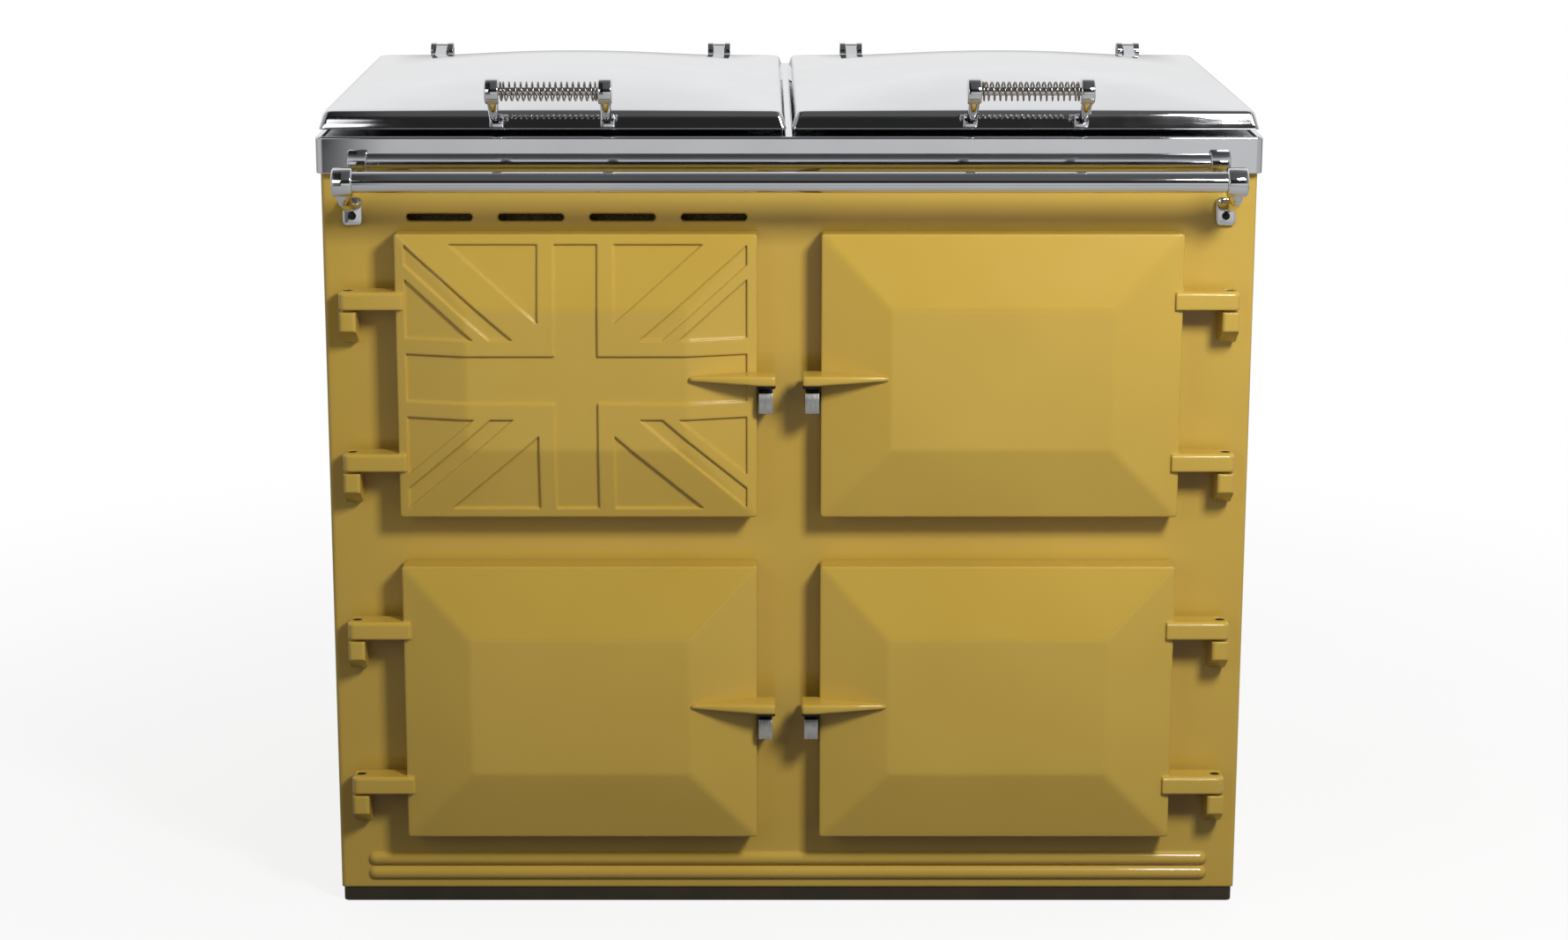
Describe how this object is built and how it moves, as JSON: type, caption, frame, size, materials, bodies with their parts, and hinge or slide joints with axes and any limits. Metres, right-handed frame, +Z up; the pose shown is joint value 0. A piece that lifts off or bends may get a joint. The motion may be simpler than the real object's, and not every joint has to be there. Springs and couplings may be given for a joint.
{
  "type": "range cooker",
  "caption": "Cast range cooker with enamelled front, hinged oven doors, domed lids over flat hotplates, sprung lid handles and a front handrail.",
  "frame": {"origin": "centre of the plinth's underside, midway between the sides and between the enamelled front and the back", "axes": "+X to the right seen from the front, +Y to the back, +Z up; the doors face -Y"},
  "size_m": [0.9946, 0.761, 0.9193],
  "materials": {
    "enamel": "gloss vitreous enamel",
    "dark_paint": "satin stoved paint",
    "black_enamel": "gloss enamel",
    "raw_iron": "as cast",
    "ground_iron": "ground flat",
    "sheath": "heat-darkened",
    "plated": "polished plate",
    "pin_steel": "ground",
    "spring_wire": "plated wire",
    "catch_steel": "brushed",
    "black_steel": "blackened",
    "shelf_steel": "plated bar",
    "zinc_sheet": "zinc-coated sheet",
    "liner_aluminium": "bright pressed sheet",
    "black_plastic": "moulded",
    "knob_plastic": "moulded",
    "rope": "woven rope",
    "wool": "mineral wool"
  },
  "bodies": {
    "cooker": {"plinth": "dark_paint", "base_plate": "raw_iron", "front_plate": "enamel", "left_side_panel": "enamel", "right_side_panel": "enamel", "back_panel": "zinc_sheet", "cable_gland": "black_plastic", "top_plate": "plated", "boiling_plate": "ground_iron", "simmering_plate": "ground_iron", "heating_elements": "sheath", "handrail": "plated", "rail_brackets": "plated", "roasting_oven": "raw_iron", "baking_oven": "raw_iron", "simmering_oven": "raw_iron", "oven_shelves": "shelf_steel", "control_box": "zinc_sheet", "control_panel": "black_enamel", "insulation": "wool", "hinge_lugs": "enamel", "hinge_pins": "pin_steel", "door_catches": "catch_steel", "lid_hinge_brackets": "plated", "lid_hinge_pins": "pin_steel"},
    "control_door": {"control_door": "enamel", "control_door_handle": "enamel", "control_door_latch": "black_steel", "control_door_liner": "zinc_sheet"},
    "roasting_door": {"roasting_door": "enamel", "roasting_door_handle": "enamel", "roasting_door_latch": "black_steel", "roasting_door_liner": "zinc_sheet", "roasting_door_seal": "rope"},
    "simmering_door": {"simmering_door": "enamel", "simmering_door_handle": "enamel", "simmering_door_latch": "black_steel", "simmering_door_liner": "zinc_sheet", "simmering_door_seal": "rope"},
    "baking_door": {"baking_door": "enamel", "baking_door_handle": "enamel", "baking_door_latch": "black_steel", "baking_door_liner": "zinc_sheet", "baking_door_seal": "rope"},
    "left_lid": {"left_lid": "plated", "left_lid_liner": "liner_aluminium", "left_lid_hinge_lugs": "plated", "left_lid_handle_brackets": "plated", "left_lid_handle_rod": "pin_steel", "left_lid_handle_spring": "spring_wire"},
    "right_lid": {"right_lid": "plated", "right_lid_liner": "liner_aluminium", "right_lid_hinge_lugs": "plated", "right_lid_handle_brackets": "plated", "right_lid_handle_rod": "pin_steel", "right_lid_handle_spring": "spring_wire"},
    "simmering_knob": {"simmering_knob": "knob_plastic"},
    "oven_knob": {"oven_knob": "knob_plastic"},
    "boiling_knob": {"boiling_knob": "knob_plastic"}
  },
  "joints": [
    {"name": "control_door_hinge", "type": "hinge", "parent": "cooker", "child": "control_door", "pos_m": [-0.4655, -0.3565, 0.596], "axis": [0, 0, -1], "range_deg": [0, 105]},
    {"name": "roasting_door_hinge", "type": "hinge", "parent": "cooker", "child": "roasting_door", "pos_m": [0.4655, -0.3565, 0.596], "axis": [0, 0, 1], "range_deg": [0, 105]},
    {"name": "simmering_door_hinge", "type": "hinge", "parent": "cooker", "child": "simmering_door", "pos_m": [-0.4655, -0.3565, 0.235], "axis": [0, 0, -1], "range_deg": [0, 105]},
    {"name": "baking_door_hinge", "type": "hinge", "parent": "cooker", "child": "baking_door", "pos_m": [0.4655, -0.3565, 0.235], "axis": [0, 0, 1], "range_deg": [0, 105]},
    {"name": "left_lid_hinge", "type": "hinge", "parent": "cooker", "child": "left_lid", "pos_m": [-0.2495, 0.243, 0.879], "axis": [-1, 0, 0], "range_deg": [0, 95]},
    {"name": "right_lid_hinge", "type": "hinge", "parent": "cooker", "child": "right_lid", "pos_m": [0.2495, 0.243, 0.879], "axis": [-1, 0, 0], "range_deg": [0, 95]},
    {"name": "simmering_knob_turn", "type": "hinge", "parent": "cooker", "child": "simmering_knob", "pos_m": [-0.1285, -0.272, 0.601], "axis": [0, 1, 0], "range_deg": [0, 270]},
    {"name": "oven_knob_turn", "type": "hinge", "parent": "cooker", "child": "oven_knob", "pos_m": [-0.2245, -0.272, 0.601], "axis": [0, 1, 0], "range_deg": [0, 270]},
    {"name": "boiling_knob_turn", "type": "hinge", "parent": "cooker", "child": "boiling_knob", "pos_m": [-0.3205, -0.272, 0.601], "axis": [0, 1, 0], "range_deg": [0, 270]}
  ]
}
